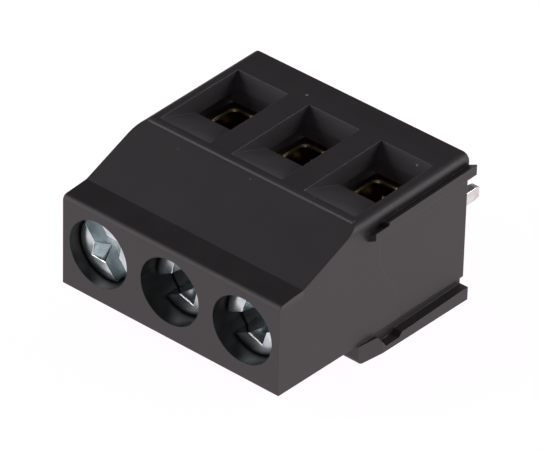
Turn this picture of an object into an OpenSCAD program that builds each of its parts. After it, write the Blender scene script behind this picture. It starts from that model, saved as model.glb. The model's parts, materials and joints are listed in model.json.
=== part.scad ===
// Three-pole board terminal with rising clamps.
// Frame: X along the poles, -Y is the wire side, +Z is the screw side.
// The board's top face is z = 0 and the row of solder pins stands at y = 0.

/* [Housing] */
// Distance between neighbouring poles
pitch = 5.08; // [5.08:0.01:7.62]
// Height of the housing above the board
body_h = 15.5; // [15:0.1:19]
// Distance from the pin row to the wire face
pin_to_front = 5.54; // [5.4:0.02:7]
// Depth of the housing at its top, wire face plane to back
body_d = 7.64; // [7.5:0.02:9]
// Depth of the flat top face that holds the driver bores
top_face_d = 5.78; // [5.2:0.02:6.4]
// Height of the upright strip under the top face's front edge
strip_h = 1.87; // [0.8:0.01:2.2]
// Lean of that strip towards the wire side
strip_lean = 0.09; // [0:0.01:0.2]
// Height of the edge where the slope meets the wire face
slope_foot_z = 9.15; // [8.95:0.05:10]
// Draft of the back wall in degrees
back_draft = 2; // [0:0.1:3]
// Radius of the top face's front edge
top_edge_r = 0.3; // [0.1:0.05:0.5]
// Radius of the upright edges beside the wire face
front_edge_r = 0.45; // [0.1:0.05:0.5]
// Radius of the bead along the top of the wire face
bead_r = 0.16; // [0.1:0.01:0.25]
// How far the bead stands out of the wire face
bead_out = 0.1; // [0.02:0.01:0.12]

/* [Rear base] */
// How far the rear base stands out behind the back
base_out = 1.21; // [0.6:0.01:2]
// Height of the rear base
base_h = 9.05; // [8.5:0.05:10]
// Radius of the rear base's upper edge
base_edge_r = 0.4; // [0.1:0.05:0.5]

/* [Wire entries] */
// Width of the wire mouth and throat
mouth_w = 3.56; // [3.2:0.02:3.7]
// Height of the mouth's lower edge above the board
mouth_z0 = 2.17; // [1.9:0.01:2.5]
// Height of the mouth's upper edge above the board
mouth_z1 = 8.61; // [7.6:0.01:8.7]
// Height of the throat's lower edge
throat_z0 = 2.4; // [2.2:0.01:2.7]
// Height of the throat's upper edge
throat_z1 = 5.65; // [5.2:0.01:5.8]
// Thickness of the wall around the throat
front_wall = 1.3; // [1.1:0.05:1.5]
// Length of the straight part of the throat
throat_land = 0.2; // [0.1:0.05:0.4]
// Rise of the roof behind the throat
throat_roof_rise = 0.5; // [0.2:0.05:0.6]

/* [Screws] */
// Distance from the pin row to the screw axes, towards the wires
screw_y = 0.98; // [0.9:0.01:1.1]
// Radius of the driver bore, which also guides the screw head
driver_bore_r = 2.05; // [1.9:0.01:2.2]
// Running clearance between head and bore, on the radius
head_gap = 0.1; // [0.05:0.01:0.1]
// Gap under a fully driven head
head_seat_gap = 0.1; // [0.05:0.01:0.15]
// Height of the screw head
head_h = 1.85; // [1.5:0.05:2.1]
// Height of the crowned top of the head
head_crown_h = 0.28; // [0.1:0.01:0.4]
// Width of the flat on top of the crown, as a share of the head
head_flat_share = 0.72; // [0.5:0.01:0.9]
// Width of the driver slot
slot_w = 1.0; // [0.6:0.05:1.2]
// Depth of the driver slot
slot_depth = 1.15; // [0.6:0.05:1.3]
// Outer radius of the screw thread
thread_r = 1.5; // [1.3:0.05:1.5]
// Depth of the thread grooves
thread_depth = 0.28; // [0.1:0.01:0.3]
// Flat of the thread's crests and roots, as a share of the lead
thread_flat_share = 0.2; // [0.1:0.05:0.4]
// Distance between thread grooves, the screw's lead
thread_lead = 0.5; // [0.4:0.05:0.6]
// Running clearance between thread and cage, on the radius
thread_gap = 0.04; // [0.02:0.01:0.08]
// Clearance around the shank where it passes the ledge
shank_gap = 0.1; // [0.05:0.01:0.2]
// Chamfer of the screw's tip and of the head's lower edge
screw_chamfer = 0.15; // [0.05:0.01:0.2]
// Length of the full shank under the head
collar_h = 0.3; // [0.2:0.05:0.5]
// Thickness of the ledge under the screw heads
ledge_t = 0.75; // [0.5:0.05:0.9]
// Gap between a fully seated screw tip and the contact bar
tip_gap = 0.03; // [0.02:0.01:0.1]
// How far each screw has backed out of its seat
screw_lift = [0.5, 0, 0.2];
// Turn of each driver slot from the row of poles, in degrees
slot_turn = [-51, 30, 26];

/* [Clamp cages] */
// Outer width of a cage along the row
cage_w = 4.0; // [3.8:0.02:4.04]
// Depth of a cage, from wire side to back
cage_d = 4.84; // [4.4:0.02:4.9]
// Width of the wire window
window_w = 3.1; // [2.8:0.02:3.2]
// Radius of the window's corners
window_r = 0.4; // [0.2:0.05:0.5]
// Thickness of the cage floor that lifts the wire
cage_floor_t = 0.95; // [0.7:0.05:1.1]
// Thickness of the threaded top wall
cage_top_t = 2.0; // [1.6:0.05:2.1]
// Radius of the cage's outer corners
cage_corner_r = 0.3; // [0.1:0.05:0.5]
// Width of the bevel around the window
rim_bevel = 0.1; // [0.05:0.01:0.2]
// Depth of the grip grooves across the cage floor
grip_depth = 0.16; // [0.1:0.01:0.2]
// Number of grip grooves
grip_count = 4; // [2:1:5]
// Clearance between a cage and its chamber
cage_gap = 0.1; // [0.05:0.01:0.12]
// Travel of a cage from open to clamped
cage_travel = 2.8; // [2:0.1:2.8]

/* [Contacts] */
// Thickness of the contact strip
strip_t = 0.8; // [0.6:0.05:0.8]
// Width of the clamp bar inside the cage
bar_w = 2.6; // [2:0.05:2.7]
// Height of the clamp bar's underside above the board
bar_z = 5.85; // [5.8:0.01:6]
// Gap between the bar's tip and the front of the cage
bar_setback = 0.4; // [0.2:0.05:1]
// Width of the leg that is pressed into the housing
leg_w = 3.4; // [3:0.05:3.4]
// Gap between the cage's back and the leg
leg_gap = 0.16; // [0.12:0.01:0.3]
// Height of the foot's underside above the board
foot_z = 0.9; // [0.6:0.05:1]
// Inner radius of the strip's bends
bend_r = 0.25; // [0.1:0.05:0.4]
// Gap between the lowered cage and the foot
cage_stop_gap = 0.1; // [0.05:0.01:0.15]
// Clearance between the leg and its slot
leg_slot_gap = 0.05; // [0.02:0.01:0.1]
// Bite of the leg's barbs into the housing
barb_bite = 0.06; // [0.03:0.01:0.1]
// Length of a barb's sloped side
barb_len = 0.5; // [0.3:0.05:0.8]
// Heights of the barbs above the board
barb_z = [2.4, 3.9];
// Width of a solder pin along the row
pin_w = 0.5; // [0.4:0.05:1]
// Length of the solder pins below the board face
pin_len = 4.0; // [3:0.1:5]
// Length of the pointed end of a pin
pin_tip = 0.3; // [0.2:0.05:0.8]
// Depth of a pin's end, as a share of the pin's depth
pin_end_share = 0.8; // [0.3:0.05:0.9]

/* [Side tongue] */
// How far the tongue stands out of the end face
tongue_out = 0.55; // [0.4:0.01:0.6]
// Clearance of the groove around a neighbour's tongue
groove_gap = 0.04; // [0.02:0.01:0.08]
// Distance from the wire face to the tongue's root
tongue_root_set = 0.68; // [0.6:0.02:0.8]
// Undercut of the tongue's front flank
tongue_undercut = 0.26; // [0.1:0.02:0.3]
// Width of the tongue's outer face
tongue_w = 0.66; // [0.5:0.02:0.7]
// Width added by the sloped rear flank
tongue_rear_flank = 0.3; // [0:0.02:0.4]
// Height of the tongue's full part above the board
tongue_h = 7.3; // [5:0.1:7.6]
// Height of the lead-in above the full part
tongue_lead = 1.1; // [0.5:0.1:1.3]
// Setback of the lead-in's front flank
tongue_lead_set = 0.22; // [0.1:0.02:0.3]
// How far the base plate stands out of the end face
cheek_out = 0.33; // [0.2:0.01:0.4]
// How far its upper end stands out
cheek_end_out = 0.12; // [0:0.01:0.2]
// Height where the base plate starts to thin towards its upper end
cheek_ramp_z = 7.2; // [6:0.1:8]
// Width of the hooked edge of the base plate
hook_w = 0.82; // [0.5:0.02:0.9]
// Depth of the recess beside the hook below the end face
recess_depth = 0.25; // [0.1:0.01:0.3]
// Height of the recess above the board
recess_h = 7.7; // [7:0.1:8]
// Height of the recess's angled end
recess_lead = 0.8; // [0.4:0.1:1.2]
// Height of the step in the hook's edge
recess_step_z = 5.6; // [2:0.1:6]
// Size of the step in the hook's edge
recess_step = 0.24; // [0.1:0.02:0.3]
// Depth of the sunk area on the end face
sunk_depth = 0.04; // [0.02:0.01:0.08]
// Distance from the wire face to where the sunk area's edge starts to drop
sunk_drop_from = 2.95; // [2:0.05:3.5]
// Distance from the wire face to where the sunk area's edge ends its drop
sunk_drop_to = 6.85; // [5:0.05:7]
// Height of the sunk area's edge after its drop
sunk_low_z = 5.5; // [4.5:0.1:6.5]

/* [Hidden] */
$fn = 64;
cut = 1;
lap = 0.1;
poles = 3;
sharp_r = 0.12;
arc_steps = 6;
body_w = poles * pitch;
front_y = -pin_to_front;
back_y = front_y + body_d;
top_front_y = back_y - top_face_d;
screw_axis_y = -screw_y;

// Cages, at rest in their lowered place
cage_front_y = screw_axis_y - cage_d / 2;
cage_back_y = screw_axis_y + cage_d / 2;
cage_z0 = foot_z + strip_t + cage_stop_gap;
window_z0 = cage_z0 + cage_floor_t;
window_z1 = bar_z + strip_t + cage_gap;
cage_z1 = window_z1 + cage_top_t;

// Chambers and ledges of the housing
chamber_w = cage_w + 2 * cage_gap;
chamber_front_y = cage_front_y - cage_gap;
chamber_back_y = cage_back_y + cage_gap;
throat_y = front_y + front_wall;
throat_roof_z = throat_z1 + throat_roof_rise;
ceiling_z = cage_z1 + cage_travel + cage_gap;
ledge_z = ceiling_z + ledge_t;
slot_back_y = cage_back_y + leg_gap + strip_t + leg_slot_gap;

// Screws
head_r = driver_bore_r - head_gap;
tip_z = bar_z + strip_t + tip_gap;
shank_len = ledge_z + head_seat_gap - tip_z;
core_r = thread_r - thread_depth;
thread_z1 = cage_z1 + cage_travel - tip_z;

// Contacts
bar_front_y = cage_front_y + bar_setback;
leg_back_y = cage_back_y + leg_gap + strip_t;
bend_out = bend_r + strip_t;
pin_d = strip_t;

function pole_x(pole) = ((poles + 1) / 2 - pole) * pitch;
function back_at(z) = back_y + (body_h - z) * tan(back_draft);
function arc_points(cy, cz, r, from, to) =
    [for (i = [0 : arc_steps]) let (a = from + (to - from) * i / arc_steps)
        [cy + r * cos(a), cz + r * sin(a)]];

// Extrudes a Y-Z outline along X, centred on the given X
module along_x(width, centre_x = 0) {
    translate([centre_x - width / 2, 0, 0])
        rotate([90, 0, 90])
            linear_extrude(height = width)
                children();
}

// Rounded rectangle from true circles
module rounded_rect(w, h, r) {
    square([w - 2 * r, h], center = true);
    square([w, h - 2 * r], center = true);
    for (x = [-1, 1], y = [-1, 1])
        translate([x * (w / 2 - r), y * (h / 2 - r)])
            circle(r);
}

// Quarter ring of the strip, its centre at the origin, in the first quadrant
module strip_bend() {
    intersection() {
        difference() {
            circle(bend_out);
            circle(bend_r);
        }
        square(bend_out + cut);
    }
}

module body_outline() {
    polygon(concat(
        [[front_y, 0],
         [back_at(0) + base_out, 0]],
        arc_points(back_at(base_h) + base_out - base_edge_r, base_h - base_edge_r,
                   base_edge_r, 0, 90),
        [[back_at(base_h), base_h]],
        arc_points(back_y - sharp_r, body_h - sharp_r, sharp_r, 0, 90),
        arc_points(top_front_y + top_edge_r, body_h - top_edge_r, top_edge_r, 90, 180),
        [[top_front_y - strip_lean, body_h - strip_h],
         [front_y, slope_foot_z]]));
}

module bead() {
    translate([0, front_y + bead_r - bead_out, slope_foot_z - bead_out])
        rotate([0, 90, 0])
            cylinder(r = bead_r, h = body_w - 2 * front_edge_r, center = true);
}

// Section of the tongue, root on x = 0 and outwards along +x, front flank towards -y
module tongue_section(set, flank, grow) {
    root_y = front_y + tongue_root_set + set;
    tip_y = root_y - tongue_undercut;
    polygon([[-cut, root_y - grow],
             [0, root_y - grow],
             [tongue_out + grow, tip_y - grow],
             [tongue_out + grow, tip_y + tongue_w - set + grow],
             [0, tip_y + tongue_w - set + flank + grow],
             [-cut, tip_y + tongue_w - set + flank + grow]]);
}

module tongue(grow) {
    translate([0, 0, grow > 0 ? -cut : 0])
        linear_extrude(height = tongue_h + (grow > 0 ? cut + grow : 0))
            tongue_section(0, tongue_rear_flank, grow);
    translate([0, 0, tongue_h])
        linear_extrude(height = tongue_lead + grow)
            tongue_section(tongue_lead_set, tongue_rear_flank, grow);
}

// Outline of the base plate on the end face, in Y-Z
module cheek_outline(grow) {
    polygon([[back_at(0) - grow, grow > 0 ? -cut : 0],
             [back_at(0) + base_out + cut * sign(grow), grow > 0 ? -cut : 0],
             [back_at(base_h) + base_out + cut * sign(grow), base_h + grow],
             [back_at(base_h) - grow, base_h + grow]]);
}

// Base plate, thinned by a ramp towards its upper end
module cheek() {
    difference() {
        along_x(cheek_out + cut, -(body_w / 2 + cheek_out / 2) + cut / 2)
            intersection() {
                body_outline();
                cheek_outline(0);
            }
        translate([-body_w / 2, back_y + base_out, 0])
            rotate([90, 0, 0])
                linear_extrude(height = 4 * base_out, center = true)
                    polygon([[-cheek_out, cheek_ramp_z],
                             [-cheek_end_out, base_h],
                             [-cheek_end_out, base_h + cut],
                             [-cheek_out - cut, base_h + cut],
                             [-cheek_out - cut, cheek_ramp_z]]);
    }
}

// Outline of the recess between the end face and the hook, in Y-Z
module recess_outline() {
    hook_y = back_at(0) + base_out - hook_w;
    polygon([[back_at(0) - recess_step / 2, -cut],
             [hook_y, -cut],
             [hook_y, recess_step_z],
             [hook_y + recess_step, recess_step_z + recess_step],
             [hook_y + recess_step, recess_h - recess_lead],
             [back_at(recess_h) - recess_step / 2, recess_h]]);
}

// Outline of the faint sunk area on the end face, in Y-Z
module sunk_outline() {
    drop_len = sunk_drop_to - sunk_drop_from;
    polygon(concat(
        [[front_y + tongue_root_set + lap, -cut],
         [front_y + tongue_root_set + lap, tongue_h]],
        [for (i = [0 : arc_steps])
            [front_y + sunk_drop_from + drop_len * i / arc_steps,
             sunk_low_z + (tongue_h - sunk_low_z) * (1 + cos(180 * i / arc_steps)) / 2]],
        [[back_at(0) + lap, sunk_low_z],
         [back_at(0) + lap, -cut]]));
}

module wire_mouth() {
    along_x(mouth_w)
        polygon([[front_y - cut, mouth_z0],
                 [front_y, mouth_z0],
                 [throat_y - throat_land, throat_z0],
                 [throat_y + cut, throat_z0],
                 [throat_y + cut, throat_z1],
                 [throat_y - throat_land, throat_z1],
                 [front_y, mouth_z1],
                 [front_y - cut, mouth_z1]]);
}

module chamber() {
    slot_z1 = bar_z + strip_t + leg_slot_gap;
    translate([-chamber_w / 2, chamber_front_y, -cut])
        cube([chamber_w, chamber_back_y - chamber_front_y, ceiling_z + cut]);
    translate([-chamber_w / 2, throat_y, throat_z0])
        cube([chamber_w, chamber_front_y - throat_y + lap, throat_roof_z - throat_z0]);
    translate([-leg_w / 2, chamber_back_y - lap, -cut])
        cube([leg_w, slot_back_y - chamber_back_y + lap, slot_z1 + cut]);
}

module pole_cuts() {
    wire_mouth();
    chamber();
    translate([0, screw_axis_y, ceiling_z - cut])
        cylinder(r = thread_r + shank_gap, h = ledge_t + 2 * cut);
    translate([0, screw_axis_y, ledge_z])
        cylinder(r = driver_bore_r, h = body_h - ledge_z + cut);
}

// Rounds one upright edge beside the wire face
module front_edge_cut(side) {
    translate([side * (body_w / 2 - front_edge_r), front_y + front_edge_r, -cut])
        difference() {
            translate([side > 0 ? 0 : -front_edge_r - cut, -front_edge_r - cut, 0])
                cube([front_edge_r + cut, front_edge_r + cut, body_h]);
            translate([0, 0, -cut])
                cylinder(r = front_edge_r, h = body_h + 2 * cut);
        }
}

module end_fittings() {
    translate([-body_w / 2, 0, 0])
        mirror([1, 0, 0])
            tongue(0);
    cheek();
}

// Grooves on the other end, where a neighbour's tongue and base plate go
module end_grooves() {
    translate([body_w / 2, 0, 0])
        mirror([1, 0, 0])
            tongue(groove_gap);
    along_x(cheek_out + groove_gap + cut, body_w / 2 + (cut - cheek_out - groove_gap) / 2)
        cheek_outline(groove_gap);
}

module housing() {
    color([0.09, 0.085, 0.09])
        difference() {
            union() {
                difference() {
                    along_x(body_w)
                        body_outline();
                    along_x(sunk_depth + cut, -(body_w + cut - sunk_depth) / 2)
                        sunk_outline();
                }
                bead();
                end_fittings();
            }
            for (pole = [1 : poles])
                translate([pole_x(pole), 0, 0])
                    pole_cuts();
            front_edge_cut(-1);
            front_edge_cut(1);
            end_grooves();
            along_x(recess_depth + cheek_out + cut, -(body_w + cheek_out + cut - recess_depth) / 2)
                recess_outline();
        }
}

// Half outline of a screw, turned about its axis, tip at z = 0
module screw_profile() {
    rings = floor(thread_z1 / thread_lead);
    root = thread_flat_share / 2;
    head_z1 = shank_len + head_h;
    polygon(concat(
        [[0, 0],
         [core_r - screw_chamfer, 0]],
        [for (i = [0 : rings - 1])
            each [[core_r, thread_lead * (i + root)],
                  [thread_r, thread_lead * (i + 0.5 - root)],
                  [thread_r, thread_lead * (i + 0.5 + root)],
                  [core_r, thread_lead * (i + 1 - root)]]],
        [[core_r, shank_len - collar_h - thread_depth],
         [thread_r, shank_len - collar_h],
         [thread_r, shank_len],
         [head_r - screw_chamfer, shank_len],
         [head_r, shank_len + screw_chamfer],
         [head_r, head_z1 - head_crown_h],
         [head_r * head_flat_share, head_z1],
         [0, head_z1]]));
}

module screw(pole) {
    color([0.72, 0.75, 0.76])
        translate([pole_x(pole), screw_axis_y, tip_z + screw_lift[pole - 1]])
            difference() {
                rotate_extrude()
                    screw_profile();
                translate([0, 0, shank_len + head_h - slot_depth])
                    rotate([0, 0, slot_turn[pole - 1]])
                        translate([-head_r - cut, -slot_w / 2, 0])
                            cube([2 * (head_r + cut), slot_w, slot_depth + cut]);
            }
}

// Bevel around the window where it meets the face at y = 0, running into +y
module window_bevel(w, h) {
    for (x = [-1, 1], z = [-1, 1])
        translate([x * (w / 2 - window_r), 0, z * (h / 2 - window_r)])
            rotate([-90, 0, 0])
                cylinder(r1 = window_r + rim_bevel, r2 = window_r, h = rim_bevel);
    along_x(w - 2 * window_r)
        bevel_outline(h / 2);
    rotate([0, 90, 0])
        along_x(h - 2 * window_r)
            bevel_outline(w / 2);
}

module bevel_outline(half) {
    polygon([[0, -half - rim_bevel],
             [rim_bevel, -half],
             [rim_bevel, half],
             [0, half + rim_bevel]]);
}

module cage(pole) {
    cage_h = cage_z1 - cage_z0;
    window_h = window_z1 - window_z0;
    window_mid_z = (window_z0 + window_z1) / 2;
    grip_step = cage_d / (grip_count + 1);
    grip_side = grip_depth * sqrt(2);
    color([0.78, 0.62, 0.32])
        translate([pole_x(pole), screw_axis_y, 0])
            difference() {
                translate([0, cage_d / 2, (cage_z0 + cage_z1) / 2])
                    rotate([90, 0, 0])
                        linear_extrude(height = cage_d)
                            rounded_rect(cage_w, cage_h, cage_corner_r);
                translate([0, cage_d / 2 + cut, window_mid_z])
                    rotate([90, 0, 0])
                        linear_extrude(height = cage_d + 2 * cut)
                            rounded_rect(window_w, window_h, window_r);
                translate([0, -cage_d / 2, window_mid_z])
                    window_bevel(window_w, window_h);
                translate([0, cage_d / 2, window_mid_z])
                    mirror([0, 1, 0])
                        window_bevel(window_w, window_h);
                translate([0, 0, window_z1 - cut])
                    cylinder(r = thread_r + thread_gap, h = cage_top_t + 2 * cut);
                for (i = [1 : grip_count])
                    translate([0, -cage_d / 2 + i * grip_step, window_z0])
                        rotate([45, 0, 0])
                            cube([window_w - 2 * window_r, grip_side, grip_side], center = true);
            }
}

// Side view of the strip without its pin, in Y-Z
module strip_outline() {
    translate([bar_front_y, bar_z])
        square([leg_back_y - bend_out - bar_front_y, strip_t]);
    translate([leg_back_y - bend_out, bar_z + strip_t - bend_out])
        strip_bend();
    translate([leg_back_y - strip_t, foot_z + bend_out])
        square([strip_t, bar_z + strip_t - foot_z - 2 * bend_out]);
    translate([leg_back_y - bend_out, foot_z + bend_out])
        mirror([0, 1])
            strip_bend();
    translate([bend_out - pin_d / 2, foot_z])
        square([leg_back_y - bend_out - (bend_out - pin_d / 2), strip_t]);
}

module pin_outline() {
    translate([bend_out - pin_d / 2, foot_z + strip_t - bend_out])
        mirror([1, 0])
            strip_bend();
    polygon([[-pin_d / 2, foot_z + strip_t - bend_out],
             [pin_d / 2, foot_z + strip_t - bend_out],
             [pin_d / 2, -pin_len + pin_tip],
             [pin_d * pin_end_share / 2, -pin_len],
             [-pin_d * pin_end_share / 2, -pin_len],
             [-pin_d / 2, -pin_len + pin_tip]]);
}

// Barbs on both edges of the leg
module barb(z) {
    translate([0, leg_back_y - strip_t, z])
        rotate([-90, 0, 0])
            linear_extrude(height = strip_t)
                polygon([[-leg_w / 2, barb_len],
                         [-leg_w / 2 - barb_bite, 0],
                         [-leg_w / 2, -barb_bite],
                         [leg_w / 2, -barb_bite],
                         [leg_w / 2 + barb_bite, 0],
                         [leg_w / 2, barb_len]]);
}

module contact(pole) {
    color([0.8, 0.8, 0.78])
        translate([pole_x(pole), 0, 0]) {
            intersection() {
                along_x(leg_w)
                    strip_outline();
                union() {
                    translate([-bar_w / 2, bar_front_y - cut, bar_z - cut])
                        cube([bar_w, leg_back_y - bar_front_y + 2 * cut, 2 * cut + strip_t]);
                    translate([-leg_w / 2, leg_back_y - strip_t - leg_gap / 2, 0])
                        cube([leg_w, strip_t + cut, body_h]);
                    translate([-bar_w / 2, -cut, 0])
                        cube([bar_w, leg_back_y + 2 * cut, foot_z + strip_t + cut]);
                }
            }
            along_x(pin_w)
                pin_outline();
            for (z = barb_z)
                barb(z);
        }
}

module screw_1() { screw(1); }
module screw_2() { screw(2); }
module screw_3() { screw(3); }
module cage_1() { cage(1); }
module cage_2() { cage(2); }
module cage_3() { cage(3); }
module contact_1() { contact(1); }
module contact_2() { contact(2); }
module contact_3() { contact(3); }

housing();
screw_1();
screw_2();
screw_3();
cage_1();
cage_2();
cage_3();
contact_1();
contact_2();
contact_3();
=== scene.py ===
# %% [markdown]
# # A board terminal with three rising clamps
# Three wires enter a black plastic block from one side. Above each wire sits a steel screw in a
# round bore. Turning it lifts a brass cage, and the cage presses the wire against a tinned bar
# that ends in a solder pin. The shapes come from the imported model, apart from the screws, which are
# made again here with their full heads and threads. The rest of the script is about finishes, light
# and camera. The block lies on its back on a white table.

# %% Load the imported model
import json
import math

import bmesh
import bpy
import numpy as np
from mathutils import Matrix, Vector


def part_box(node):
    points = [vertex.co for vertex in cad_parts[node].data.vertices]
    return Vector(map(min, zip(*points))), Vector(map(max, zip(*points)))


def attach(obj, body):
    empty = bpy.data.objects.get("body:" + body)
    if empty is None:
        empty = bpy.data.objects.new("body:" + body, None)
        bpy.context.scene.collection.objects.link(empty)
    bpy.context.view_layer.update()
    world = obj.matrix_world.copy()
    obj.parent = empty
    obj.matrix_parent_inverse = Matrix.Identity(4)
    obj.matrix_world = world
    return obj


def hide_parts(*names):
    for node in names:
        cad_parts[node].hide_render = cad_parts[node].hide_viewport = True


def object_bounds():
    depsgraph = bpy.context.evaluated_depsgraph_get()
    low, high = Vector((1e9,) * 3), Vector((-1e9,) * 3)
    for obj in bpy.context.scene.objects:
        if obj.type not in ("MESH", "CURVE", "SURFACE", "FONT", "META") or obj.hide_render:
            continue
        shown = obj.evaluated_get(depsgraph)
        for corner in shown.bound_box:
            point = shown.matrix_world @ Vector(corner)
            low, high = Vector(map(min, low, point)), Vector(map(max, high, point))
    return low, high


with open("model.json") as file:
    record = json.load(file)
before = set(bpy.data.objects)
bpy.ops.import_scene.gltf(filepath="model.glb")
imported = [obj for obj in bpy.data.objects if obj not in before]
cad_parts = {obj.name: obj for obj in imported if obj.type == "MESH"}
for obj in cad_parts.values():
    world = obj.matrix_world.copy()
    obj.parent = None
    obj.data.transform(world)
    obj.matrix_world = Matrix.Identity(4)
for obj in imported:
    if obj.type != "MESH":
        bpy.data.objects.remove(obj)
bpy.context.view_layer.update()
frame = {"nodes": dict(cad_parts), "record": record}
nodes = frame["nodes"]
low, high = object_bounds()
centre = (low + high) / 2
print("nodes:", sorted(nodes))
print("box in mm:", [round(1000 * (b - a), 2) for a, b in zip(low, high)])

# %% [markdown]
# ## Camera
# A long lens from well away keeps parallel edges nearly parallel, as in a catalogue picture.
# The block stands wire side up there, so the picture's up is close to the model's -Y. The camera
# is placed by a viewing direction, a distance and a small roll, which say more than a matrix.

# %% Lengths, the camera's numbers and a helper for directions
MM = 0.001
FOCAL_MM = 395.6
CAMERA_TO_BLOCK = 319.13 * MM
AIM_AT = Vector((0.15, -0.95, 7.17)) * MM
LOOKING_ALONG = Vector((0.5254, 0.5731, -0.6290)).normalized()
ROLL = math.radians(1.475)
UP = Vector((0, -1, 0))


def turned_to(direction, up_hint, roll=0.0):
    """A rotation whose -Z looks along direction and whose +Y is near up_hint, then rolled."""
    back = -direction.normalized()
    right = up_hint.cross(back).normalized()
    up = back.cross(right)
    matrix = Matrix((right, up, back)).transposed()
    return (matrix @ Matrix.Rotation(roll, 3, "Z")).to_quaternion()


# %% Make the camera
camera_data = bpy.data.cameras.new("catalogue_camera")
camera_data.sensor_width = 36
camera_data.lens = FOCAL_MM
camera_data.clip_start = 0.01
camera_data.clip_end = 10
camera = bpy.data.objects.new("catalogue_camera", camera_data)
camera.location = AIM_AT - LOOKING_ALONG * CAMERA_TO_BLOCK
camera.rotation_mode = "QUATERNION"
camera.rotation_quaternion = turned_to(LOOKING_ALONG, UP, ROLL)
bpy.context.scene.collection.objects.link(camera)
bpy.context.scene.camera = camera
print("camera at mm", [round(1000 * v, 1) for v in camera.location])

# %% [markdown]
# ## A small language for finishes
# A finish is easier to read as arithmetic than as a drawing of nodes. `Value` wraps one socket and
# adds a Math node for each operator, and `Finish` owns a material and makes every other node by
# one method.


# %% Arithmetic on sockets
class Value:
    """One number that varies over a surface; arithmetic on it adds Math nodes."""

    def __init__(self, finish, socket):
        self.finish = finish
        self.socket = socket

    def math(self, operation, first, second, clamp=False):
        settings = {"operation": operation, "use_clamp": clamp}
        return self.finish.node("ShaderNodeMath", settings, {0: first, 1: second})[0]

    def __add__(self, other):
        return self.math("ADD", self, other)

    __radd__ = __add__

    def __sub__(self, other):
        return self.math("SUBTRACT", self, other)

    def __rsub__(self, other):
        return self.math("SUBTRACT", other, self)

    def __mul__(self, other):
        return self.math("MULTIPLY", self, other)

    __rmul__ = __mul__

    def clamped(self):
        """The same number kept between 0 and 1."""
        return self.math("ADD", self, 0.0, clamp=True)

    def rising(self, start, end):
        """0 below start and 1 above end, smooth between; start may be above end to fall."""
        settings = {"interpolation_type": "SMOOTHSTEP", "clamp": True}
        inputs = {"Value": self, "From Min": start, "From Max": end}
        return self.finish.node("ShaderNodeMapRange", settings, inputs)["Result"]


# %% One maker of nodes
BEVEL_SAMPLES = 6
FLAT_AGREEMENT = 0.99


class Made:
    """A node just made; its outputs are read by name or number."""

    def __init__(self, finish, node):
        self.finish = finish
        self.node = node

    def __getitem__(self, key):
        return Value(self.finish, self.node.outputs[key])


class Finish:
    """A material, or the world, and the method that makes its nodes."""

    def __init__(self, owner):
        self.owner = owner
        owner.use_nodes = True
        self.tree = owner.node_tree
        self.tree.nodes.clear()

    def node(self, kind, settings=None, inputs=None):
        """Makes one node, applies its settings, then sets or links its sockets."""
        node = self.tree.nodes.new(kind)
        for name, value in (settings or {}).items():
            setattr(node, name, value)
        for name, value in (inputs or {}).items():
            if isinstance(value, Value):
                self.tree.links.new(value.socket, node.inputs[name])
            else:
                node.inputs[name].default_value = value
        return Made(self, node)

    def vector(self, operation, first, second):
        """Vector Math of two vectors; its result is read as "Vector" or "Value"."""
        settings = {"operation": operation}
        return self.node("ShaderNodeVectorMath", settings, {0: first, 1: second})

    def mix_colours(self, share, first, second):
        """The first colour where share is 0 and the second where it is 1."""
        settings = {"data_type": "RGBA"}
        inputs = {0: share, 6: first, 7: second}
        return self.node("ShaderNodeMix", settings, inputs)[2]

    def noise(self, place, feature_mm, detail=2.0, roughness=0.5):
        """Smooth noise from 0 to 1 whose blotches are about feature_mm wide."""
        inputs = {"Vector": place, "Scale": 1000 / feature_mm, "Detail": detail,
                  "Roughness": roughness}
        return self.node("ShaderNodeTexNoise", {}, inputs)["Fac"]

    def rounded(self, radius, sharp):
        """A normal rounded over edges, and a mask that is 1 on an edge and 0 on a flat face.

        sharp is the agreement of the rounded normal with the face's own at which the mask is 1."""
        face = self.node("ShaderNodeNewGeometry")["Normal"]
        settings = {"samples": BEVEL_SAMPLES}
        normal = self.node("ShaderNodeBevel", settings, {"Radius": radius})["Normal"]
        agreement = self.vector("DOT_PRODUCT", face, normal)["Value"]
        return normal, agreement.rising(FLAT_AGREEMENT, sharp)


print("helpers ready")

# %% [markdown]
# ## Housing
# The block is black glass-filled plastic. Its mould was spark-eroded on the outside, which leaves a
# matt grain, and smoother in the driver bores and on the upright strip above the slope. The bores
# are also painted near black, which is painted shade, and the walls of the wire mouths are painted
# greyer, which is painted light. Real moulded edges are never sharp. A Bevel node rounds them in the
# shading, and where its normal leaves the face's own normal there is an edge: that makes a mask for
# the places where handling has worn the grain smooth. A few pale nicks finish it.
#
# Places are in millimetres from the middle of the block in X, from the entry face in Y and from the
# board in Z. The entry face lies a bead's height behind the front of the housing's box.

# %% Colours and places on the housing
EDGE_ROUND = 0.05 * MM
BLACK = (0.0190, 0.0150, 0.0180, 1)
GREYED = (0.0230, 0.0190, 0.0220, 1)
RUBBED = (0.080, 0.075, 0.080, 1)
NICKED = (0.220, 0.205, 0.215, 1)
# Painted shade: the colour of the driver bores, darker than the plastic for the shade deep in them.
BORE_PAINTED_SHADE = (0.0070, 0.0060, 0.0065, 1)
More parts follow.
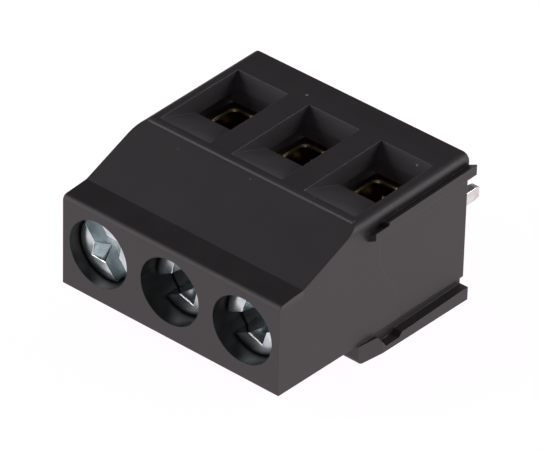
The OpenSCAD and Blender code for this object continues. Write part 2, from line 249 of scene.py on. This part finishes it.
# Painted light: the colour of the wire mouths' walls, greyer than the plastic where light falls into
# them.
MOUTH_PAINTED_LIGHT = (0.046, 0.039, 0.045, 1)
BEAD_OUT = 0.1
MOUTH_LOW, MOUTH_HIGH = (-7.1, 0.04, 1.4), (7.1, 2.54, 9.1)
MOUTH_FADE = 0.05
DRIVER_BORE_R = 2.1
STRIP_H, STRIP_IN = 1.87, 2.04
NICKS = [((2.47, 0.0, 1.55), 0.20), ((-5.85, 0.39, 2.25), 0.17), ((-4.15, 0.0, 8.75), 0.08),
         ((-0.36, 0.15, 9.53), 0.09), ((-7.62, 0.53, 6.04), 0.10), ((4.45, 0.28, 9.85), 0.07),
         ((0.99, 1.79, 13.98), 0.06), ((1.58, 1.81, 14.36), 0.06)]
screw_boxes = [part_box(f"screw_{pole}") for pole in (1, 2, 3)]
screw_axes = [tuple((a + b) / 2 for a, b in zip(*box)) for box in screw_boxes]
housing_low, housing_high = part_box("housing")
entry_y = housing_low[1] / MM + BEAD_OUT
top_z = housing_high[2] / MM
print("screw axes in mm:", [tuple(round(v / MM, 2) for v in axis) for axis in screw_axes])
print("entry face at Y", round(entry_y, 2), "and top at Z", round(top_z, 2), "mm")


def nick_mask(finish, place):
    """1 at the core of each nick and 0 beyond its radius, broken up by fine noise."""
    grain = finish.noise(place, 0.05, detail=3.0)
    total = 0.0
    for (x, y, z), radius_mm in NICKS:
        spot = (x * MM, (entry_y + y) * MM, z * MM)
        radius = radius_mm * MM
        gap = finish.vector("DISTANCE", place, spot)["Value"]
        total = (gap + grain * (radius * 0.8)).rising(radius, radius * 0.5) + total
    return total.clamped()


# The bore mask gives the bores their smoother gloss and their painted shade.
def bore_mask(finish, place):
    """1 inside the driver bores, from the distance to each screw's axis, and 0 elsewhere."""
    flat = finish.vector("MULTIPLY", place, (1, 1, 0))["Vector"]
    radius = DRIVER_BORE_R * MM
    total = 0.0
    for x, y, _ in screw_axes:
        gap = finish.vector("DISTANCE", flat, (x, y, 0))["Value"]
        total = gap.rising(radius, radius * 0.98) + total
    return total.clamped()


def strip_mask(finish, place):
    """1 on the upright strip under the top face's wire-side edge and 0 elsewhere."""
    parts = finish.node("ShaderNodeSeparateXYZ", {}, {"Vector": place})
    foot, front = top_z - STRIP_H, entry_y + STRIP_IN
    above_foot = parts["Z"].rising((foot - 0.1) * MM, foot * MM)
    below_edge = parts["Z"].rising((top_z - 0.1) * MM, (top_z - 0.3) * MM)
    return above_foot * below_edge * parts["Y"].rising((front + 0.2) * MM, front * MM)


# The mouth mask places the painted light on the walls of the wire mouths.
def mouth_mask(finish, place):
    """1 on the walls of the wire mouths, which lie in one long box under the entry face."""
    parts = finish.node("ShaderNodeSeparateXYZ", {}, {"Vector": place})
    inside = 1.0
    for axis, start, end, origin in zip("XYZ", MOUTH_LOW, MOUTH_HIGH, (0, entry_y, 0)):
        begins, ends = origin + start, origin + end
        inside = parts[axis].rising((begins - MOUTH_FADE) * MM, begins * MM) * inside
        inside = parts[axis].rising((ends + MOUTH_FADE) * MM, ends * MM) * inside
    return inside


# %% The housing's finish
def housing_finish():
    """Black plastic whose gloss, grain and wear change by place."""
    finish = Finish(bpy.data.materials.new("black_moulding"))
    place = finish.node("ShaderNodeTexCoord")["Object"]
    blotches = finish.noise(place, 2.5, detail=4.0)
    grain = finish.noise(place, 0.045, detail=2.0)
    stretched = finish.node("ShaderNodeMapping", {}, {"Vector": place, "Scale": (1, 1, 0.04)})
    hairs = finish.noise(stretched["Vector"], 0.03, detail=2.0).rising(0.70, 0.80)
    nicks = nick_mask(finish, place)
    bores = bore_mask(finish, place)
    polished = (bores * 0.35 + strip_mask(finish, place) * 0.6).clamped()
    round_edge, edges = finish.rounded(EDGE_ROUND, 0.80)

    colour = finish.mix_colours(blotches.rising(0.3, 0.8), BLACK, GREYED)
    # Painted light on the mouth walls.
    colour = finish.mix_colours(mouth_mask(finish, place), colour, MOUTH_PAINTED_LIGHT)
    colour = finish.mix_colours(edges * 0.3, colour, RUBBED)
    colour = finish.mix_colours(nicks, colour, NICKED)
    # Painted shade in the driver bores.
    colour = finish.mix_colours(bores, colour, BORE_PAINTED_SHADE)
    matt = 0.44 + blotches * 0.08 + grain * 0.06 - hairs * 0.10
    rough = matt - polished * 0.28 - edges * 0.16 + nicks * 0.10
    height = grain * (1 - polished) * 0.8 + hairs * 0.2 + nicks * 2.0
    bump = {"Strength": 0.35, "Distance": 0.002 * MM, "Height": height, "Normal": round_edge}
    normal = finish.node("ShaderNodeBump", {}, bump)["Normal"]
    shader = finish.node("ShaderNodeBsdfPrincipled", {}, {
        "Base Color": colour, "Roughness": rough, "IOR": 1.47, "Normal": normal})
    finish.node("ShaderNodeOutputMaterial", {}, {"Surface": shader["BSDF"]})
    return finish.owner


# %% [markdown]
# ## Screws, cages and contacts
# All three are metals, so their colour is the colour of their reflection. The zinc on the screws
# is bright, has a cool tint and is a little wavy, as plating from a barrel is. The cages are
# pressed brass with a fine rolled grain, painted dark as painted shade for their place deep in the
# wire mouths, with a pale painted highlight along their edges. The contacts are tinned: paler,
# softer and a little uneven.

# %% A finish shared by the three metals
METALS = {
    "screw": {"name": "bright_zinc", "rough": 0.14, "round_mm": 0.04,
              "bright": (0.64, 0.69, 0.71, 1), "dull": (0.46, 0.51, 0.53, 1),
              "edge_wear_and_highlight": (0.90, 0.93, 0.94, 1), "grain_scale": (1, 1, 1), "grain_mm": 0.9},
    # Painted shade and highlight: the cage's bright and dull colours are darkened for the shade in
    # the wire mouths, and its edge colour is a painted highlight.
    "cage": {"name": "pressed_brass", "rough": 0.28, "round_mm": 0.07,
             "bright": (0.30, 0.22, 0.12, 1), "dull": (0.16, 0.11, 0.06, 1),
             "edge_wear_and_highlight": (0.95, 0.86, 0.64, 1), "grain_scale": (1, 0.1, 1), "grain_mm": 0.06},
    "contact": {"name": "tin_plate", "rough": 0.25, "round_mm": 0.05,
                "bright": (0.72, 0.71, 0.69, 1), "dull": (0.58, 0.57, 0.55, 1),
                "edge_wear_and_highlight": (0.85, 0.84, 0.82, 1), "grain_scale": (0.2, 1, 1), "grain_mm": 0.08},
}
BLOTCH_MM = 0.7


def metal_finish(name, bright, dull, edge_wear_and_highlight, rough, grain_scale, round_mm, grain_mm):
    """Metal with a stretched grain and paler edges: wear on the screws and contacts, a painted
    highlight on the cages. grain_scale squeezes the noise by axis.
    """
    finish = Finish(bpy.data.materials.new(name))
    place = finish.node("ShaderNodeTexCoord")["Object"]
    stretched = finish.node("ShaderNodeMapping", {}, {"Vector": place, "Scale": grain_scale})
    grain = finish.noise(stretched["Vector"], grain_mm, detail=3.0)
    blotches = finish.noise(place, BLOTCH_MM, detail=4.0)
    round_edge, edges = finish.rounded(round_mm * MM, 0.85)
    colour = finish.mix_colours(blotches.rising(0.35, 0.75), bright, dull)
    # Edge colour: wear on the screws and contacts, a painted highlight on the cages.
    colour = finish.mix_colours(edges, colour, edge_wear_and_highlight)
    bump = {"Strength": 0.5, "Distance": 0.003 * MM, "Height": grain, "Normal": round_edge}
    normal = finish.node("ShaderNodeBump", {}, bump)["Normal"]
    shader = finish.node("ShaderNodeBsdfPrincipled", {}, {
        "Base Color": colour, "Metallic": 1.0,
        "Roughness": rough + blotches * 0.12 - edges * 0.10, "Normal": normal})
    finish.node("ShaderNodeOutputMaterial", {}, {"Surface": shader["BSDF"]})
    return finish.owner


# %% Give every node its finish
finishes = {slot: metal_finish(**metal) for slot, metal in METALS.items()}
finishes["housing"] = housing_finish()
for part in frame["record"]["subparts"]:
    node = nodes[part["node"]]
    material = finishes[part["material_slot"]]
    for slot in node.material_slots:
        slot.material = material
    if not node.material_slots:
        node.data.materials.append(material)
    print(part["node"], "gets", material.name)

# %% [markdown]
# ## The screws
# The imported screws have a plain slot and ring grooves. A real clamp screw takes either driver: its
# head has a broad slot and, at right angles to it, a notch on each side that narrows outwards and
# rises to a point. The thread is one helix. So each screw is made again here as one closed surface,
# in the same place and turned the same way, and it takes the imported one's place.

# %% Sizes of a screw in millimetres and degrees; heights are measured from its tip
SLOT_TURNS = {"screw_1": -51.0, "screw_2": 30.0, "screw_3": 26.0}
SLOT_W, SLOT_DEPTH = 1.22, 1.15
NOTCH_DEPTH, NOTCH_HALF_W, NOTCH_REACH = 1.0, 0.66, 1.34
HEAD_H, HEAD_CHAMFER = 1.85, 0.15
CROWN_H, CROWN_POWER = 0.13, 10
DISH_DEPTH, DISH_FROM, DISH_WIDE = 0.03, 0.3, 0.65
COLLAR_H, THREAD_R, THREAD_DEPTH, THREAD_LEAD = 0.3, 1.5, 0.28, 0.5
CREST_SHARE, FLANK_SHARE = 0.2, 0.6
TIP_H, TIP_IN = 0.3, 0.15
SIDE_ROWS, SLOT_ROWS, COLUMNS, RING_STEP = 44, 13, 81, 0.05
MERGE = 0.0005 * MM


def head_height(u, v, head_r, top):
    """Height of the head at u along the slot and v across it.

    The crown falls from the top with a high power of the distance from the axis, so it is nearly
    flat in the middle and round at the rim. The dish is a ring whose depth is a squared sine of
    that distance. A notch is a pyramid lying on its side: its depth falls evenly with the distance
    from the slot's wall and with the distance from its own middle line, down to zero."""
    share = np.hypot(u, v) / head_r
    dish = DISH_DEPTH * np.sin(np.pi * np.clip((share - DISH_FROM) / DISH_WIDE, 0, 1)) ** 2
    crown = top - CROWN_H * share ** CROWN_POWER - dish
    beyond_wall = (np.abs(v) - SLOT_W / 2) / (NOTCH_REACH - SLOT_W / 2)
    notch = NOTCH_DEPTH * np.clip(1 - beyond_wall - np.abs(u) / NOTCH_HALF_W, 0, 1)
    return crown - notch


def shank_radius(z, angle, collar_z):
    """Radius of the shank at a height and an angle.

    The groove's depth is a trapezoid wave of height minus angle, so one turn moves it by one lead.
    It fades out under the collar, and the last stretch tapers to the tip."""
    turns = z / THREAD_LEAD - angle / (2 * np.pi)
    wave = np.abs(2 * (turns - np.floor(turns)) - 1)
    groove = np.clip((wave - CREST_SHARE) / FLANK_SHARE, 0, 1)
    collar = np.clip((z - collar_z + THREAD_DEPTH) / THREAD_DEPTH, 0, 1)
    tip = np.clip(1 - z / TIP_H, 0, 1)
    return THREAD_R - THREAD_DEPTH * np.maximum(groove * (1 - collar), tip) - TIP_IN * tip


def head_grid(head_r, length):
    """Points of the head and the tilt of each row: rows lie across the head at the sine of an even
    tilt, two of them at each wall of the slot, and columns spread evenly from rim to rim."""
    wall = math.asin(SLOT_W / 2 / head_r)
    side, slot = np.linspace(wall, np.pi / 2, SIDE_ROWS), np.linspace(-wall, wall, SLOT_ROWS)
    tilt = np.concatenate([-side[::-1], slot, side])
    in_slot = np.zeros(len(tilt), bool)
    in_slot[SIDE_ROWS:SIDE_ROWS + SLOT_ROWS] = True
    along = np.linspace(-1, 1, COLUMNS)[None, :] * head_r * np.cos(tilt)[:, None]
    across = np.broadcast_to(head_r * np.sin(tilt)[:, None], along.shape)
    crown = head_height(along, across, head_r, length)
    height = np.where(in_slot[:, None], length - SLOT_DEPTH, crown)
    return np.stack([along, across, height], -1).reshape(-1, 3), tilt


def side_rings(head_r, length, rim_angle):
    """Points of the rings from the slot's floor level down the head, the collar and the thread."""
    under_head = length - HEAD_H
    collar_z = under_head - COLLAR_H
    levels = np.array([(length - SLOT_DEPTH, head_r), (under_head + HEAD_CHAMFER, head_r),
                       (under_head, head_r - HEAD_CHAMFER), (under_head, THREAD_R)])
    shank_z = np.linspace(collar_z, 0, int(collar_z / RING_STEP))
    ring_z = np.concatenate([levels[:, 0], shank_z])
    head_rings = np.repeat(levels[:, 1:], len(rim_angle), axis=1)
    shank_rings = shank_radius(shank_z[:, None], rim_angle[None, :], collar_z)
    ring_r = np.concatenate([head_rings, shank_rings])
    return np.stack([ring_r * np.cos(rim_angle), ring_r * np.sin(rim_angle),
                     np.broadcast_to(ring_z[:, None], ring_r.shape)], -1).reshape(-1, 3)


def screw_surface(name):
    """Points in millimetres, quads and the tip's loop of one screw, turned and in its place."""
    box_low, box_high = (np.array(corner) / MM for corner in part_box(name))
    head_r = (box_high[0] - box_low[0]) / 2
    length = box_high[2] - box_low[2]
    head, tilt = head_grid(head_r, length)
    rings = side_rings(head_r, length, np.concatenate([tilt, np.pi - tilt[::-1]]))

    rows = len(tilt)
    row, column = np.meshgrid(np.arange(rows - 1), np.arange(COLUMNS - 1), indexing="ij")
    corner = row * COLUMNS + column
    head_faces = np.stack([corner, corner + 1, corner + COLUMNS + 1, corner + COLUMNS], -1)
    left_rim = np.arange(rows) * COLUMNS
    rim = np.concatenate([left_rim + COLUMNS - 1, left_rim[::-1]])
    ring_loops = len(head) + np.arange(len(rings)).reshape(-1, len(rim))
    loops = np.concatenate([rim[None, :], ring_loops])
    beside = np.roll(loops, -1, axis=1)
    side_faces = np.stack([loops[:-1], loops[1:], beside[1:], beside[:-1]], -1)
    faces = np.concatenate([head_faces.reshape(-1, 4), side_faces.reshape(-1, 4)])

    turn = math.radians(SLOT_TURNS[name])
    spin = np.array([[math.cos(turn), -math.sin(turn), 0], [math.sin(turn), math.cos(turn), 0],
                     [0, 0, 1]])
    middle = (box_low + box_high) / 2
    tip = np.array([middle[0], middle[1], box_low[2]])
    return np.concatenate([head, rings]) @ spin.T + tip, faces, loops[-1]


def make_screw(name):
    """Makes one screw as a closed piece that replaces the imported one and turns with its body."""
    points, faces, tip_loop = screw_surface(name)
    mesh = bpy.data.meshes.new(f"made_{name}")
    mesh.from_pydata((points * MM).tolist(), [], faces.tolist() + [tip_loop.tolist()])
    work = bmesh.new()
    work.from_mesh(mesh)
    bmesh.ops.remove_doubles(work, verts=work.verts, dist=MERGE)
    bmesh.ops.recalc_face_normals(work, faces=work.faces)
    open_edges = sum(len(edge.link_faces) != 2 for edge in work.edges)
    volume = work.calc_volume(signed=True) / MM ** 3
    work.to_mesh(mesh)
    work.free()
    mesh.materials.append(finishes["screw"])
    piece = bpy.data.objects.new(f"made_{name}", mesh)
    bpy.context.scene.collection.objects.link(piece)
    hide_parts(name)
    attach(piece, f"turning_{name}")
    print(piece.name, len(mesh.polygons), "faces,", open_edges, "open edges,",
          round(volume, 2), "cubic mm")


# %% Make the screws
for screw in SLOT_TURNS:
    make_screw(screw)

# %% [markdown]
# ## Table, dark card, world and lamps
# The block lies on its back, so the table is the plane behind the rear base. It glows, like a light
# table, and the lamps add a little more, so the block's own shadow stays as a faint grey. Its back
# is clear, so a view from behind isn't blocked. Over it hangs a wide dark card, as a photographer
# hangs black cloth to keep glare off a black object: what is turned up mirrors the card, and what
# stands upright mirrors the bright table and the white room. The camera doesn't see the card.

# %% Table and card
TABLE_HALF = 0.45
TABLE_GLOW = (1.0, 0.94, 0.965, 1)
TABLE_WHITE = (0.12, 0.12, 0.12, 1)
CARD_HALF = 3.0
CARD_HEIGHT = 0.32
CARD_GLOW = (0.08, 0.08, 0.08, 1)
BLACK_CLOTH = (0, 0, 0, 1)
FACING_UP = ((-1, -1), (1, -1), (1, 1), (-1, 1))
FACING_DOWN = FACING_UP[::-1]


def add_sheet(name, half, y, corners, colour, glow):
    """A square sheet at height y with a matt colour and a glow; its back is clear."""
    finish = Finish(bpy.data.materials.new(name))
    matt = finish.node("ShaderNodeBsdfDiffuse", {}, {"Color": colour})["BSDF"]
    glowing = finish.node("ShaderNodeEmission", {}, {"Color": glow, "Strength": 1.0})["Emission"]
    both = finish.node("ShaderNodeAddShader", {}, {0: matt, 1: glowing})[0]
    clear = finish.node("ShaderNodeBsdfTransparent")["BSDF"]
    behind = finish.node("ShaderNodeNewGeometry")["Backfacing"]
    shown = finish.node("ShaderNodeMixShader", {}, {0: behind, 1: both, 2: clear})[0]
    finish.node("ShaderNodeOutputMaterial", {}, {"Surface": shown})
    mesh = bpy.data.meshes.new(name)
    mesh.from_pydata([(x * half, y, z * half) for x, z in corners], [], [(0, 1, 2, 3)])
    mesh.materials.append(finish.owner)
    sheet = bpy.data.objects.new(name, mesh)
    bpy.context.scene.collection.objects.link(sheet)
    print(name, "faces", tuple(round(v, 2) for v in mesh.polygons[0].normal))
    return sheet


add_sheet("table", TABLE_HALF, high.y, FACING_UP, TABLE_WHITE, TABLE_GLOW)
card = add_sheet("dark_card", CARD_HALF, high.y - CARD_HEIGHT, FACING_DOWN, BLACK_CLOTH, CARD_GLOW)
card.visible_camera = False

# %% World: white for the camera, a mirror or a glass, and dim for the rest
ROOM_GLOW = 0.10
WHITE = (1, 1, 1, 1)
world = Finish(bpy.data.worlds.new("room"))
paths = world.node("ShaderNodeLightPath")
dim = world.node("ShaderNodeBackground", {}, {"Color": WHITE, "Strength": ROOM_GLOW})
white = world.node("ShaderNodeBackground", {}, {"Color": WHITE, "Strength": 1.0})
seen = (paths["Is Camera Ray"] + paths["Is Glossy Ray"] + paths["Is Transmission Ray"]).clamped()
shown = world.node("ShaderNodeMixShader", {}, {
    0: seen, 1: dim["Background"], 2: white["Background"]})
world.node("ShaderNodeOutputWorld", {}, {"Surface": shown[0]})
bpy.context.scene.world = world.owner
print("room glow", ROOM_GLOW)

# %% Lamps: soft boxes on stands, each by its direction from the block, size in metres and watts
LAMP_AWAY = 0.25
LAMPS = {
    "upper_right": ((-0.57, -0.53, -0.63), 0.06, 0.08),
    "upper_left": ((0.53, -0.63, 0.57), 0.07, 0.09),
    "top_left": ((0.75, -0.66, 0.0), 0.12, 0.05),
    "top_right": ((0.0, -0.75, -0.66), 0.12, 0.03),
    "front": ((-0.53, -0.57, 0.63), 0.12, 0.07),
    "low_left": ((0.7, -0.15, 0.7), 0.24, 0.50),
    "low_right": ((-0.7, -0.15, -0.7), 0.24, 0.45),
}
LAMP_UP = Vector((0.1, 0.2, 1))
for name, (direction, size, watts) in LAMPS.items():
    data = bpy.data.lights.new(name, "AREA")
    data.size = size
    data.energy = watts
    lamp = bpy.data.objects.new(name, data)
    towards = Vector(direction).normalized()
    lamp.location = centre + towards * LAMP_AWAY
    lamp.rotation_mode = "QUATERNION"
    lamp.rotation_quaternion = turned_to(-towards, LAMP_UP)
    bpy.context.scene.collection.objects.link(lamp)
    print("lamp", name, "at mm", [round(v / MM) for v in lamp.location])

# %% Finish
bpy.context.scene.view_settings.view_transform = "Standard"
